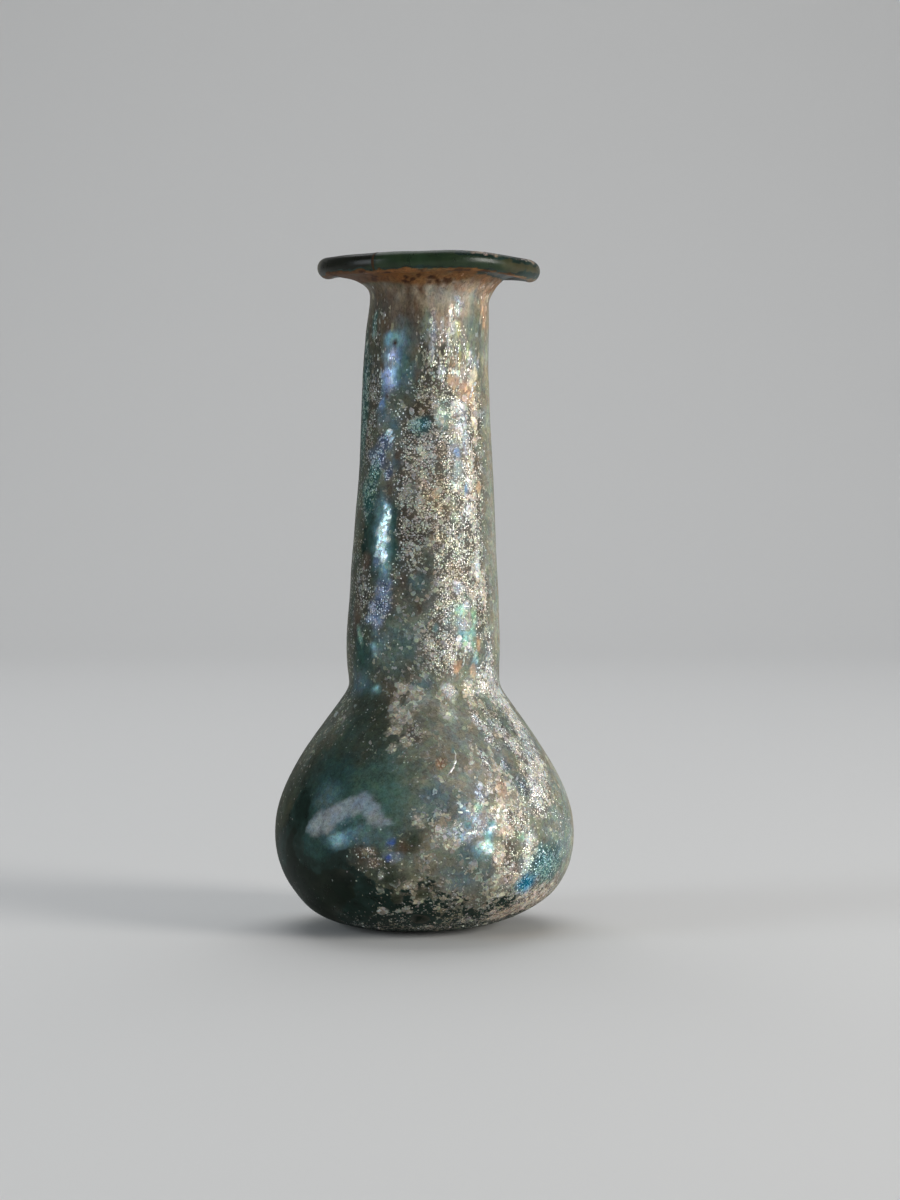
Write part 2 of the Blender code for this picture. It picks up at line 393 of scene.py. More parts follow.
# Cyan iridescent film, laid also as a painted glow round highlights and below the bloom.
CYAN_FILM_AND_PAINTED_GLOW = Layer((0.15, 0.275, 0.29), 0.88, 0.45, 0, 0.05, 1)
BLUE_SHEEN = Layer((0.13, 0.195, 0.3), 0.9, 0.45, 0.2, 0.12, 0.9)
PERIWINKLE_SHEEN = Layer((0.195, 0.24, 0.325), 0.92, 0.45, 0.25, 0.12, 0.9)
FROSTED_BLUE = Layer((0.15, 0.235, 0.3), 0.98, 0.45, 0.02, 0, 0.8)
FROSTED_TEAL = Layer((0.074, 0.132, 0.136), 0.98, 0.35, 0.02, 0, 1)
GREY_BLUE_SHEEN = Layer((0.09, 0.138, 0.15), 0.88, 0.35, 0.1, 0.03, 1.4)
LILAC_GRAINS = Layer((0.135, 0.18, 0.275), 0.92, 0.3, 0.75, 0.1, 0.9)
OPAL_GREEN = Layer((0.24, 0.39, 0.305), 1, 0.5, 0.25, 0.25, 0.6)
OPAL_LILAC = Layer((0.32, 0.345, 0.37), 1, 0.45, 0.4, 0.45, 0.8)
YELLOW_GREEN = Layer((0.4, 0.42, 0.23), 1, 0.4, 0.5, 0.3)
TEAL_GRAINS = Layer((0.046, 0.15, 0.132), 0.9, 0.3, 0.75, 0.1, 1)
BLUE_GRAINS = Layer((0, 0.3, 0.5), 0.98, 0.3, 0.72, 0, 0.9)
TURQUOISE_GRAINS = Layer((0.11, 0.285, 0.3), 0.98, 0.3, 1.05, 0, 1.2)
STREAKED = Layer((0.34, 0.32, 0.265), 1, 0.35, 0.45, 0.25, 0.8)
SMOOTH_OLIVE = Layer((0.185, 0.195, 0.15), 0.96, 0.2, 0.05, 0.04, 0.6)
WHITE_GRAINS = Layer((0.62, 0.61, 0.57), 1, 0.3, 1.30, 0.3, 0.8)
INK_GRAINS = Layer((0.2, 0.26, 0.31), 0.98, 0.3, 0.9, 0, 1.4)
STAIN = Layer((0.115, 0.07, 0.042), 1, 0, 0, 0.02, 1.6)
SANDY = Layer((0.3, 0.25, 0.185), 1, 0.2, 0.75, 0.15, 1.2)
# Lavender film, made pale as a painted highlight where the left window is mirrored.
LAVENDER_FILM_AND_PAINTED_HIGHLIGHT = Layer((0.4, 0.5, 0.7), 0.95, 0.5, 0.12, 0.1, 0.9)
WORN = Layer((0.2, 0.15, 0.12), 0.55, 0.1, 0.1, 0.3, 1)
BRIGHT_SILVER = Layer((0.45, 0.44, 0.41), 1, 0.3, 1.30, 0.35, 0.9)
DARK_OLIVE = Layer((0.036, 0.044, 0.028), 0.75, 0.05, 0.05, 0, 1.4)
MINT_CRUST = Layer((0.4, 0.45, 0.395), 1, 0.35, 0.25, 0.35, 0.7)
# Painted glow: teal, lighter than the glass around it.
PAINTED_TEAL_GLOW = Layer((0.105, 0.19, 0.19), 0.9, 0.4, 0, 0, 1.2)
COBALT = Layer((0.06, 0.11, 0.36), 0.98, 0.4, 0.1, 0.1, 0.9)
LAVENDER_BLOOM = Layer((0.245, 0.285, 0.305), 0.98, 0.05, 0, 0, 0.35)

# Each layer is followed by its places: (height in mm, turn in degrees, half its height in mm, half
# its width in degrees), and last, where it slants, how far its right end is raised, in degrees.
# A later place lies over an earlier one.
PLACES = (
    # The broad lie of it: grains up the front of the neck, bare glass low on the left of the body.
    (DARK_FILM, (95, -65, 24, 34), (58, -55, 16, 44), (32, -45, 10, 50)),
    (OLIVE_FILM, (34, 30, 10, 52), (16, 12, 10, 38)),
    (DIM_SILVER, (88, -3, 16, 18), (72, -8, 11, 20), (102, 2, 8, 15)),
    (DIM_SILVER, (96, -52, 5, 8), (87, -58, 4, 5), (60, -56, 5, 8)),
    (SILVER, (103, 20, 8, 9), (90, 34, 12, 24), (77, 25, 10, 28)),
    (STREAKED, (105.5, 24, 4.6, 10), (98, 40, 5, 12), (89, 30, 4, 10)),
    (SILVER, (66, 30, 10, 22), (57, 24, 8, 20), (50, 6, 4.5, 11), (82, 0, 6, 14), (60, 44, 7, 11)),
    (BRIGHT_SILVER, (47, 57, 6, 8), (50, 20, 3, 5), (78, 40, 5, 6)),
    (DARK_GLASS, (17, -62, 16, 34), (24, -40, 12, 26), (7, -34, 7, 40)),
    (DARK_SPECKLED, (6, 4, 4, 50)),
    (DARK_GLASS, (3, 4, 3.4, 60), (4.5, -14, 4, 26)),
    (SPECKLED, (8, 6, 3.6, 18), (3, -10, 2, 26), (6, 34, 5, 26)),
    (MURKY, (36, -58, 8, 38)),
    (DARK_SPECKLED, (4.6, 8, 1.8, 20), (9, -22, 4, 9)),
    (OLIVE_FILM, (10, 24, 1.4, 12)),
    (MUD, (7, 27, 3, 15), (5, 38, 2.4, 9)),
    (DARK_OLIVE, (12, -14, 2.6, 7), (7, -28, 3, 8), (9, 0, 1.2, 5)),
    (DARK_GLASS, (70, -45, 6.5, 14), (4, -2, 0.9, 5), (7.5, -14, 0.8, 3)),
    # Painted light: the pale film down the right-hand edge of the neck.
    (PALE_OLIVE_FILM_AND_PAINTED_EDGE_LIGHT, (92, 77, 22, 13), (60, 77, 17, 14)),
    # The top of the neck.
    (TAN, (112, 0, 4.4, 60), (112, 120, 4, 60), (112, 210, 4, 60)),
    (PALE_TAN, (112.6, 24, 2.4, 26), (111, 44, 1.8, 14)),
    (DARK_TAN, (111, -46, 6, 24), (108.6, -14, 3, 14), (104.6, -12, 3.4, 6)),
    (STAIN, (113.2, -14, 2, 3), (110.8, -8, 1.4, 1.8), (113.4, -2, 1.6, 3), (112, -34, 1.6, 4)),
    (STAIN, (103.4, -10, 1.8, 2.4), (106.2, -14, 1.4, 2), (99, -6, 1.2, 2)),
    (PEACH, (111, 66, 3.4, 9), (114, 45, 1.2, 14)),
    (SMOOTH_OLIVE, (107, 3, 3.2, 5), (106.4, 53, 5, 9)),
    # The blue oval on the left of the neck.
    (FROSTED_TEAL, (100.4, -20, 5.6, 16)),
    (FROSTED_BLUE, (104, -29, 2.1, 12), (101, -29.5, 3, 11), (97.4, -32.5, 2.8, 12)),
    (CYAN_FILM_AND_PAINTED_GLOW, (104.8, -31, 1.1, 5)),
    (PERIWINKLE_SHEEN, (101.4, -29, 1.8, 6), (96.4, -33, 2.2, 9)),
    # Painted highlight: lavender film at the foot of the oval, where the left window is mirrored.
    (LAVENDER_FILM_AND_PAINTED_HIGHLIGHT, (98, -33, 1.6, 10), (101.9, -31, 0.7, 4)),
    (BROWN, (99.8, -43, 1.3, 3), (109, -42, 2.4, 8)),
    (DARK_SOIL, (104, -28.5, 0.5, 2.6), (94.7, -35, 0.4, 1.8), (91.2, -36.5, 0.5, 2.2)),
    (FAINT_GRAINS, (102, -54, 7, 10)),
    (TEAL_GRAINS, (94, -72, 9, 8), (107.4, -56, 1.8, 4)),
    (TURQUOISE_GRAINS, (89.4, -4, 1.6, 7)),
    # Left of the neck, downwards.
    (DULL_OLIVE, (93.8, -22, 1.8, 10)),
    (OLIVE_FILM, (90.5, -38, 2, 7)),
    (GREY_BLUE_SHEEN, (89.6, -27, 1.3, 5), (91.5, -40, 1.6, 5), (83, -25, 1.2, 4)),
    # Painted highlights on the blue-white film.
    (PAINTED_HIGHLIGHT_FILM, (88.2, -33, 0.5, 3), (87, -30, 0.5, 2)),
    (BLUE_SHEEN, (93.2, -41, 1, 3)),
    (LILAC_GRAINS, (86.4, -37, 1.6, 8), (83.6, -44, 1.8, 9), (81, -32, 1, 4)),
    (TEAL_GRAINS, (81, -48, 2, 6)),
    (BROWN, (77.5, -30, 2, 6), (75, -58, 2.2, 4), (84, -22, 1.4, 4)),
    (TEAL_GRAINS, (76.5, -54, 3, 8)),
    (TEAL_VEIL, (72.5, -25.5, 3.4, 5), (68, -25.5, 2.6, 5), (70, -47, 4.4, 6)),
    # Cyan film round the neck's highlight, a painted glow about it.
    (CYAN_FILM_AND_PAINTED_GLOW, (70, -37, 6, 8), (64.4, -33.5, 1.6, 5)),
    # Painted highlight down the left of the neck, where the left window is mirrored.
    (PAINTED_HIGHLIGHT_FILM, (73.2, -34, 2, 4), (70.2, -35.8, 2.4, 5.6), (67, -38, 1.8, 5)),
    (BLUE_SHEEN, (61.5, -31, 1.8, 4), (65.8, -41, 1, 3)),
    (PERIWINKLE_SHEEN, (59.8, -34, 2.6, 8), (55.4, -39, 1.4, 7)),
    (LILAC_GRAINS, (57.6, -37, 1.8, 9), (61, -33, 1, 4)),
    (BROWN, (65.4, -52, 1.8, 5), (57.4, -22, 1.4, 5), (55, -60, 3, 6)),
    (DUSKY_FILM, (59, -10, 5.4, 15), (66.5, 3.5, 3.8, 4), (46, -26, 4.4, 22)),
    (BROWN, (62, -15, 1.2, 4), (57.4, -4, 1, 3), (47.4, -12, 1.2, 4)),
    (GREY_GREEN_FILM, (53, -14, 3, 14), (49, -22, 3, 14), (61.5, -6, 1.6, 7)),
    (TEAL_VEIL, (48.5, -52, 3.6, 10), (42.8, -46, 1.6, 12)),
    (OPAL_GREEN, (52.4, -55, 1.7, 2.2, 25)),
    (CYAN_FILM_AND_PAINTED_GLOW, (50.2, -39.5, 1.2, 3.6), (42.8, -38, 1, 4)),
    # Painted highlight: the bright cores of the cyan star.
    (PAINTED_CYAN_HIGHLIGHT, (50.4, -39, 0.7, 1.4), (42.9, -38, 0.5, 1.8)),
    (GREY_BLUE_SHEEN, (51, -33, 1.6, 4), (53, -38, 1, 4), (44, -57, 2, 10)),
    # Right of the neck, downwards.
    (OPAL_LILAC, (110.2, 33, 1.6, 4), (105, 9, 4, 3), (100, 55, 1.2, 4)),
    (YELLOW_GREEN, (106.4, 33, 1.3, 2.2), (101.5, 33.5, 3.4, 1), (102.3, 43, 1.8, 2.6)),
    (WHITE, (104.4, 21.5, 1.3, 2), (108.5, 25, 2.2, 2), (99, 16, 1.3, 3)),
    (WHITE, (98.3, 29.5, 0.9, 3), (101, 46, 1.6, 2.6), (107, 17, 1.6, 1.4)),
    (DIM_SILVER, (101.8, 18.5, 1.7, 3.4)),
    (RUST, (100.4, 26, 1.2, 3), (91.4, 27, 0.8, 2)),
    (PEACH, (97.2, 27, 1.2, 6), (95.6, 37, 1.8, 7), (94, 47, 1.6, 5)),
    (CREAM, (98.2, 47, 2.2, 3.2), (92.5, 50, 2.6, 4), (88.5, 50, 2.6, 3)),
    (PEACH, (95.2, 38, 1.5, 8, -30), (95, 43, 1.9, 7)),
    (IVORY, (98.4, 49, 1.1, 9, 50), (91.4, 47, 1.4, 3)),
    (PALE_GREEN_FILM, (90.8, 16, 2.8, 7.5), (82, 29, 2.8, 6), (74.5, 21, 2, 6)),
    (MINT_CRUST, (91, 13.5, 1.9, 4)),
    (WHITE, (93, 29, 2, 5), (88.6, 33, 2, 4), (78.7, 29.5, 1, 3)),
    (OPAL_LILAC, (91.5, 35, 2, 4), (84.6, 26, 1.6, 5), (86, 39, 2.4, 4)),
    (BLUE_SHEEN, (84.6, 29, 0.8, 3), (78.4, 37, 1.1, 2.4)),
    (CREAM, (81, 44, 4, 3), (72.5, 44, 3, 3), (60, 52, 4, 3)),
    (DIM_SILVER, (79.2, -8.5, 2.4, 4.6), (71.2, -17.5, 3, 4)),
    (DUSKY_FILM, (78.8, -7.5, 2, 3.2)),
    (SANDY, (76, 9, 3.4, 11), (69.5, 12, 3, 8), (63, 24, 2.4, 6), (84, 14, 2, 5)),
    (SILVER, (72.8, 9, 2, 7), (67, -8, 2.4, 6)),
    (PEACH, (77.4, 10, 0.7, 3), (78.6, 52, 1.6, 3)),
    (PALE_GREEN_FILM, (54.4, 32, 4.2, 11)),
    (OPAL_GREEN, (54.6, 40, 3.2, 2.6), (51.6, 34, 1.6, 5), (56.6, 29, 1.2, 4)),
    (OPAL_LILAC, (54.6, 30, 1.5, 4), (51.4, 26, 1.2, 3), (58, 34, 0.9, 3), (61, 26, 1.2, 3)),
    (CYAN_FILM_AND_PAINTED_GLOW, (52.6, 29, 0.9, 2.4), (54, 9, 0.9, 2), (47.6, 41.5, 0.9, 2.4)),
    (WHITE, (50.4, 34, 0.9, 3), (64, 46, 1.6, 2.4), (66, 47, 1.2, 3)),
    (PEACH, (47.2, 25, 1.1, 4), (46.2, 41.5, 1.5, 3), (51, 45, 1.2, 2.6)),
    (OLIVE_FILM, (50, 52, 3, 4)),
    (OPAL_GREEN, (49, 42.5, 1.2, 2.2)),
    (CYAN_FILM_AND_PAINTED_GLOW, (48.2, 43.5, 0.9, 1.8)),
    # Painted highlights: the white glints in the cyan spot.
    (PAINTED_HIGHLIGHT_FILM, (49.4, 42, 0.5, 1.2), (48, 44, 0.4, 0.9)),
    # Shoulder.
    (SLATE_FILM, (43.8, 1, 1.2, 9)),
    (DARK_OLIVE, (37, -38, 3.6, 20)),
    (WHITE, (42.8, 19.5, 1.3, 5), (41.8, 54, 1.2, 5)),
    (CREAM, (42.8, 37, 1.5, 7)),
    (BEIGE, (40.4, -20, 1.7, 4.5), (41.5, -4, 1.6, 6.5), (38.6, -12, 1.3, 6)),
    (BEIGE, (36.4, -16, 1, 4), (34.6, -9.5, 0.9, 3), (33.3, -15, 0.9, 2.2), (43.5, -16, 1, 5)),
    (SILVER, (35.9, -5, 1.5, 4), (39.6, 42, 2.2, 3), (36.6, 48, 2.4, 3)),
    (WHITE_GRAINS, (42, 66, 3, 12), (37, 67, 4, 9), (31, 62, 4, 8)),
    (WHITE_GRAINS, (26, 58, 3.6, 6), (33, 52, 2, 2.6), (44, 50, 1.3, 5)),
    (LIGHT_OLIVE, (37, 20, 4.6, 14), (30, 28, 3, 8), (34, 42, 3, 5)),
    (BRIGHT_SILVER, (36.6, 35, 0.9, 11, -72), (34, 47, 0.9, 12, -68)),
    (BRIGHT_SILVER, (31.5, 29, 0.5, 6, -75), (26.5, 52, 1, 8, -70)),
    (MINT_CRUST, (39.4, 15.5, 1.6, 5)),
    (LIGHT_OLIVE, (41.4, 4, 1.2, 4), (27.6, 15, 2.2, 6)),
    (PALE_GREEN_FILM, (41.2, 50, 1, 2)),
    (RUST, (31, 8, 0.9, 2)),
    (CREAM, (31, 33.5, 2.6, 0.8), (33.2, 23.6, 1.4, 0.6), (31.3, 22.4, 1.2, 0.7), (29.8, 19.8, 0.6, 1.6)),
    # Body, left.
    (TEAL_VEIL, (29, -38, 6, 16), (21.5, -34, 4, 15), (16, -44, 2.4, 9)),
    (GREEN_VEIL, (27, -17, 3.6, 11), (23, -15, 3.4, 8), (18.6, -20, 1.6, 6)),
    (MURKY, (33.5, -31, 2.6, 11), (40, -38, 2, 8)),
    (FROSTED_TEAL, (24.8, -42, 2.2, 6)),
    (GREY_BLUE_SHEEN, (18.6, -26, 1.9, 11)),
    (DULL_OLIVE, (30, -73, 9, 7), (37, -62, 3.6, 12)),
    (DARK_OLIVE, (16, -84, 12, 12), (24, -68, 5, 7)),
    (DARK_GLASS, (8, -62, 5, 30), (9, -34, 3.4, 12)),
    (LAVENDER_BLOOM, (22, -35.5, 2, 15, 26), (23, -20.6, 1.4, 7.4, -41), (21.5, -14.6, 0.4, 3.4, -22)),
    # Painted glow: cyan film below the bloom.
    (CYAN_FILM_AND_PAINTED_GLOW, (17.6, -34, 1.5, 4.6)),
    # Painted highlight: the bright core of the glow below the bloom.
    (PAINTED_CYAN_HIGHLIGHT, (17.8, -33.5, 0.8, 2.4)),
    # Painted glow: a teal patch lighter than the glass around it.
    (PAINTED_TEAL_GLOW, (19, -24.5, 0.9, 5)),
    (TEAL_VEIL, (20, -30, 0.5, 5, 20)),
    (DARK_FILM, (14.4, -24, 1.8, 6), (17.2, -7, 1.6, 4)),
    (BROWN, (16, -24, 0.8, 3), (14.4, -22, 0.8, 3), (17.2, -7, 1, 2)),
    (DARK_FILM, (13.4, -18, 1.6, 5), (16.2, -19, 1, 3)),
    (SANDY, (16.2, -20.5, 0.6, 2), (14.2, -18.5, 0.7, 2.4)),
    (PERIWINKLE_SHEEN, (15.4, -11, 0.8, 2.8)),
    (COBALT, (17.8, -11.8, 0.6, 1.3), (15.2, -12.5, 0.5, 0.9)),
    (BEIGE, (12, -16, 0.5, 1.2), (10.4, -5, 0.7, 2.6), (21.3, -1.5, 1, 2.2)),
    (DARK_OLIVE, (18.4, -3, 1.5, 2.8), (8, -10.5, 1.2, 3), (11.3, -11.5, 0.9, 2.4)),
    # Body, right.
    (SLATE_FILM, (24.5, 5, 3.4, 7), (12, 17, 3, 10), (16, 20, 2, 8)),
    (WHITE_GRAINS, (24, 51, 2.6, 4.4), (15.4, 42.5, 3.6, 3.2)),
    (SILVER, (22, 38, 3, 5), (15, 33, 3, 4)),
    (BEIGE, (26, 35, 3.4, 7), (20, 5.5, 1.6, 3), (23.4, 41, 1.3, 3)),
    (PEACH, (26.4, 34, 1.6, 3)),
    (CREAM, (22, 30, 2.4, 4), (16, 45, 2.2, 2.2), (15.5, 29, 2, 3), (26.6, 28, 0.9, 2), (19.6, 33, 1.2, 3)),
    (OPAL_LILAC, (25.8, 23.5, 1.3, 2.4), (21.5, 19, 3, 6), (19, 12, 1.8, 6), (30.2, 38, 0.8, 2.4)),
    (BEIGE, (17.6, 9, 1, 4), (22, 8, 0.8, 2), (10.4, 30, 1, 3)),
    (CYAN_FILM_AND_PAINTED_GLOW, (33.4, 14.5, 0.5, 1)),
    (INK_GRAINS, (26.4, 45, 1.5, 2.6), (30, 40, 0.8, 1.6)),
    (OPAL_GREEN, (23.6, 21.5, 0.7, 1.4), (18, 40, 0.9, 1.4)),
    # Cyan film round the body's highlights, a painted glow about them.
    (CYAN_FILM_AND_PAINTED_GLOW, (20.6, 26.4, 0.9, 1.6), (20.6, 17, 0.8, 2), (19, 25, 1.1, 1.8), (16, 22, 1.2, 3)),
    # Painted highlights on the right of the body, where the right window is mirrored.
    (PAINTED_HIGHLIGHT_FILM, (16.9, 23.4, 1.2, 2.5), (19.8, 26.4, 0.7, 1), (23.2, 17, 0.7, 1.2)),
    (PAINTED_HIGHLIGHT_FILM, (18.6, 15, 0.5, 1.4), (21.8, 20, 0.5, 1)),
    # Painted light: the pale film down the right-hand edge of the body.
    (PALE_OLIVE_FILM_AND_PAINTED_EDGE_LIGHT, (24, 86, 12, 14), (14, 84, 8, 12)),
    (PALE_GREEN_FILM, (20.5, 66, 6, 10), (15, 71, 4, 9)),
    (TURQUOISE_GRAINS, (12.4, 53, 3, 10)),
    (PINK_CRUST, (7, 58, 2.4, 14), (11.5, 35, 1.8, 4), (5.6, 42, 2.4, 12)),
    (PINK_CRUST, (3.2, 30, 1.2, 12), (1.8, 14, 0.8, 12)),
    (BLUE_GRAINS, (9.6, 43.5, 1.6, 4.4)),
    (DARK_SPECKLED, (6.5, 37, 1, 6.5, 8), (4.4, 25, 0.9, 7)),
    (SPECKLED, (1.8, 25, 0.8, 34), (1.6, -20, 0.6, 20)),
    (BEIGE, (5.4, -18, 0.7, 2.6), (5.6, -7, 0.7, 2), (7.4, -2, 0.5, 2)),
    # The rim's bead.
    (RIM_GREEN, (119, 0, 3.8, 400)),
    (RIM_DARK, (119, -68, 3.8, 41), (119, 150, 3.8, 50)),
    (RIM_OLIVE, (119, 70, 3.8, 26), (119, 210, 3.8, 22), (118.4, -88, 1.9, 13)),
    (WORN, (119.2, 33, 0.6, 12), (118.7, 68, 0.9, 14)),
    (DARK_SOIL, (118.2, -26.8, 2.6, 1)),
)
BANDS = (7.0, 2.2, 0.8)  # sizes in mm of the noises that sway and break a place's edge
SWAY = (0.22, 0.50)  # as a share of their size or the place's, how far: least smooth, most if flaking
SMALLEST_REPEATED = 2.3  # half the height in mm of the smallest place that the back repeats
RIM_FROM = 116  # mm, above which the back repeats nothing
TO_THE_BACK = (-1.5, 182)  # mm and degrees from a place to its repeat
USUAL_RADIUS = 13.0  # mm, at which a place's width is compared with its height
DRIFTS = ((0.1, 0, -0.1), (0.16, 0.16, 0.16))  # of red, green and blue, with rises and with slides
DRIFT_SHARES = (0.6, 0.6, 0.3)  # of each band of noise


def mottle(points, size, seed, octaves=2):
    """Noise of about this size in mm at each point, mostly within -1 and 1."""
    offset = Vector((seed * 17.3, seed * 5.1, seed * 9.7))
    scale = 1 / (size * MM)
    values = [noise.fractal(Vector(p) * scale + offset, 0.8, 2.1, octaves) for p in points.tolist()]
    return np.array(values) * 1.6


class Surface:
    """Points of the vessel as heights and turns, and what lies there."""

    def __init__(self, points):
        x, y, z = points.T
        self.radius = np.maximum(np.hypot(x, y), 0.5 * MM) / MM
        self.height = z / MM
        self.turn = np.degrees(np.arctan2(x, -y))
        self.rises = [mottle(points, size, 1) for size in BANDS]
        self.slides = [mottle(points, size, 2) for size in BANDS]
        self.colour = np.tile(OLIVE_FILM.colour, (len(points), 1))
        self.amounts = np.tile(OLIVE_FILM.amounts(), (len(points), 1))

    def inside(self, layer, height, turn, tall, wide, slant=0.0):
        """1 inside a place and 0 outside, with a ragged edge."""
        reach = min(tall, np.radians(wide) * USUAL_RADIUS)
        sway = SWAY[0] + (SWAY[1] - SWAY[0]) * layer.flakes
        rise = sum(sway * min(size, reach) * n for size, n in zip(BANDS, self.rises))
        slide = sum(sway * min(size, reach) * n for size, n in zip(BANDS, self.slides))
        up = self.height + rise - height
        across = np.radians((self.turn - turn + 180) % 360 - 180) * self.radius + slide
        slant = math.radians(slant)
        up, across = (
            (up * math.cos(slant) - across * math.sin(slant)) / tall,
            (up * math.sin(slant) + across * math.cos(slant)) / (math.radians(wide) * self.radius),
        )
        return np.clip((1 - np.hypot(up, across)) / layer.edge + 0.5, 0, 1)

    def lay(self, layer, where):
        """Puts a layer over what is there already."""
        self.colour += where[:, None] * (np.array(layer.colour) - self.colour)
        self.amounts += where[:, None] * (layer.amounts() - self.amounts)

    def lay_all(self):
        """Lays every place, first those that the back repeats."""
        places = [(layer, *place) for layer, *places in PLACES for place in places]
        up, round_to = TO_THE_BACK
        for layer, height, turn, tall, *rest in places:
            if tall > SMALLEST_REPEATED and height < RIM_FROM:
                self.lay(layer, self.inside(layer, height + up, turn + round_to, tall, *rest))
        for layer, *place in places:
            self.lay(layer, self.inside(layer, *place))

    def vary(self):
        """Drifts every colour a little towards green or brown and light or dark."""
        for bands, drift in zip((self.rises, self.slides), DRIFTS):
            drifted = sum(share * band for share, band in zip(DRIFT_SHARES, bands))
            self.colour *= 1 + np.outer(drifted, drift)


# ---- Materials


def both_ways(operation):
    """An operator that adds this Math node, and its reflected form."""

    def forwards(self, other):
        return self.maths(operation, self, other)

    def backwards(self, other):
        return self.maths(operation, other, self)

    return forwards, backwards


class Value:
    """One output of a node. Sums and products with numbers and other values add Math nodes."""

    def __init__(self, tree, socket):
        self.tree = tree
        self.socket = socket

    def maths(self, operation, *values):
        return self.tree.add("ShaderNodeMath", {"operation": operation}, dict(enumerate(values)), 0)

    def at_least(self, other):
        return self.maths("MAXIMUM", self, other)

    __add__, __radd__ = both_ways("ADD")
    __sub__, __rsub__ = both_ways("SUBTRACT")
    __mul__, __rmul__ = both_ways("MULTIPLY")


class Tree:
    """A material and the nodes that make it."""

    def __init__(self, name):
        self.material = bpy.data.materials.new(name)
        self.material.use_nodes = True
        self.nodes = self.material.node_tree.nodes
        self.links = self.material.node_tree.links
        self.nodes.clear()

    def add(self, kind, settings=None, values=None, output=0):
        """Adds a node: its settings first, then the values or links of its sockets."""
        node = self.nodes.new(kind)
        for name, setting in (settings or {}).items():
            if name == "stops":
                set_stops(node.color_ramp, setting)
            else:
                setattr(node, name, setting)
        for name, value in (values or {}).items():
            if isinstance(value, Value):
                self.links.new(value.socket, node.inputs[name])
            else:
                node.inputs[name].default_value = value
        return Value(self, node.outputs[output]) if len(node.outputs) else None

    def finish(self, shader):
        self.add("ShaderNodeOutputMaterial", {}, {"Surface": shader})
        return self.material

    def place(self):
        """Where a point is, in metres."""
        return self.add("ShaderNodeTexCoord", output="Object")

    def stored(self, name, output="Fac"):
        return self.add("ShaderNodeAttribute", {"attribute_name": name}, output=output)

    def step(self, value, low, high):
        """0 below low, 1 above high, and a smooth S between them."""
        values = {"Value": value, "From Min": low, "From Max": high}
        return self.add("ShaderNodeMapRange", {"interpolation_type": "SMOOTHSTEP"}, values)

    def noise(self, place, size, detail=3.0, roughness=0.6, output="Fac"):
        """Noise of about this size in mm."""
        values = {"Vector": place, "Scale": 1 / (size * MM), "Detail": detail, "Roughness": roughness}
        return self.add("ShaderNodeTexNoise", {}, values, output)

    def cells(self, place, size, output="Color"):
        """Random cells of about this size in mm."""
        values = {"Vector": place, "Scale": 1 / (size * MM)}
        return self.add("ShaderNodeTexVoronoi", {}, values, output)

    def others(self, value, *names):
        """These outputs of the node that gives this value."""
        return [Value(self, value.socket.node.outputs[name]) for name in names]

    def channels(self, colour):
        """Red, green and blue, as three random numbers for each cell."""
        parts = self.add("ShaderNodeSeparateColor", {}, {"Color": colour})
        return self.others(parts, "Red", "Green", "Blue")

    def vector(self, operation, *values):
        return self.add("ShaderNodeVectorMath", {"operation": operation}, dict(enumerate(values)))

    def scaled(self, vector, scale):
        return self.add("ShaderNodeVectorMath", {"operation": "SCALE"}, {0: vector, "Scale": scale})

    def centred(self, colour, scale):
        """A random colour as a vector around zero."""
        return self.scaled(self.vector("SUBTRACT", colour, (0.5, 0.5, 0.5)), scale)

    def blend(self, share, under, over, kind="MIX"):
        """One colour over another."""
        settings = {"data_type": "RGBA", "blend_type": kind}
        values = {0: share, 6: as_colour(under), 7: as_colour(over)}
        return self.add("ShaderNodeMix", settings, values, 2)

    def glaze(self, share, colour, film, light=1.3):
        """A colour seen through a thin film."""
        return self.blend(share, colour, self.scaled(film, light), "MULTIPLY")

    def ramp(self, value, stops):
        return self.add("ShaderNodeValToRGB", {"stops": stops}, {"Fac": value}, "Color")

    def bump(self, height, strength, depth):
        """A bumpy normal, where a height of 1 stands for this depth in mm."""
        values = {"Strength": strength, "Distance": depth * MM, "Height": height}
        return self.add("ShaderNodeBump", {}, values, "Normal")

    def direction(self, vector, *others):
        """The direction of the sum of several vectors."""
        for other in others:
            vector = self.vector("ADD", vector, other)
        return self.vector("NORMALIZE", vector)

    def shader(self, values):
        return self.add("ShaderNodeBsdfPrincipled", {}, values)


def set_stops(ramp, stops):
    while len(ramp.elements) < len(stops):
        ramp.elements.new(1.0)
    for element, (position, colour) in zip(ramp.elements, stops):
        element.position = position
        element.color = (*colour, 1.0)


def as_colour(value):
    return value if isinstance(value, Value) else (*value, 1.0)


FILM_TINTS = (  # the pale colours that follow one another as an iridescent film thickens
    (0.1, (0.8, 0.78, 0.74)),
    (0.22, (0.86, 0.76, 0.58)),
    (0.32, (0.86, 0.66, 0.62)),
    (0.42, (0.7, 0.66, 0.88)),
    (0.52, (0.58, 0.74, 0.92)),
    (0.62, (0.6, 0.86, 0.82)),
    (0.74, (0.74, 0.88, 0.6)),
    (0.86, (0.88, 0.76, 0.66)),
    (1.00, (0.8, 0.79, 0.76)),
)
DIRT = (0.03, 0.026, 0.018)
PALE_DIRT = (0.06, 0.052, 0.04)
FLAKE_COLOUR = (0.4, 0.38, 0.33)
PALE_GRAINS = ((0.0, (0.32, 0.3, 0.26)), (0.5, (0.61, 0.59, 0.54)), (1.0, (0.92, 0.92, 0.9)))
DEEP_GLASS = (
    (0.35, (0.005, 0.014, 0.009)),
    (0.5, (0.01, 0.028, 0.02)),
    (0.65, (0.024, 0.056, 0.046)),
)
STREAKS_FROM = 97 * MM  # above this height everything is drawn out up and down
DRAWN_OUT = 0.48  # share of its height there that a pattern loses, so that it repeats more slowly
